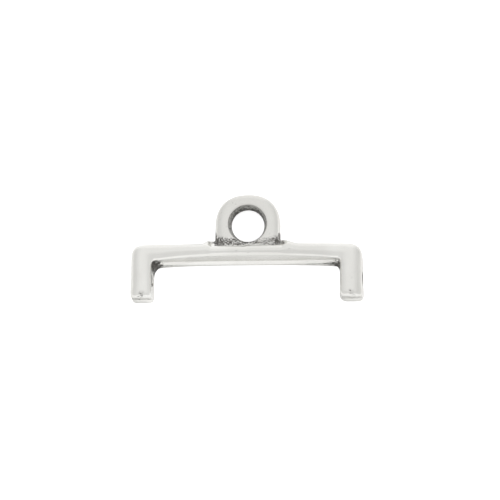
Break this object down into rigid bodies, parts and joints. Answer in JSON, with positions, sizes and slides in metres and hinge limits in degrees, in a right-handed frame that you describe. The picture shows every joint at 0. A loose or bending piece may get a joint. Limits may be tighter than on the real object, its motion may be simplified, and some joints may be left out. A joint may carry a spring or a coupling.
{
  "type": "beadwork end cap",
  "caption": "Cast U-shaped bracket with drilled legs and a ring loop on its bar, which closes the end of a strip of beadwork.",
  "frame": {"origin": "middle of the outline seen from the front, on the flat back", "axes": "+X along the bar, +Y from the feet of the legs towards the loop, +Z out of the front face"},
  "size_m": [0.02, 0.0092, 0.0025],
  "materials": {
    "antique_silver": "silver plate over a zinc casting, polished on the outside and darkened in the recesses"
  },
  "bodies": {
    "root": {"end_cap": "antique_silver"}
  },
  "joints": []
}
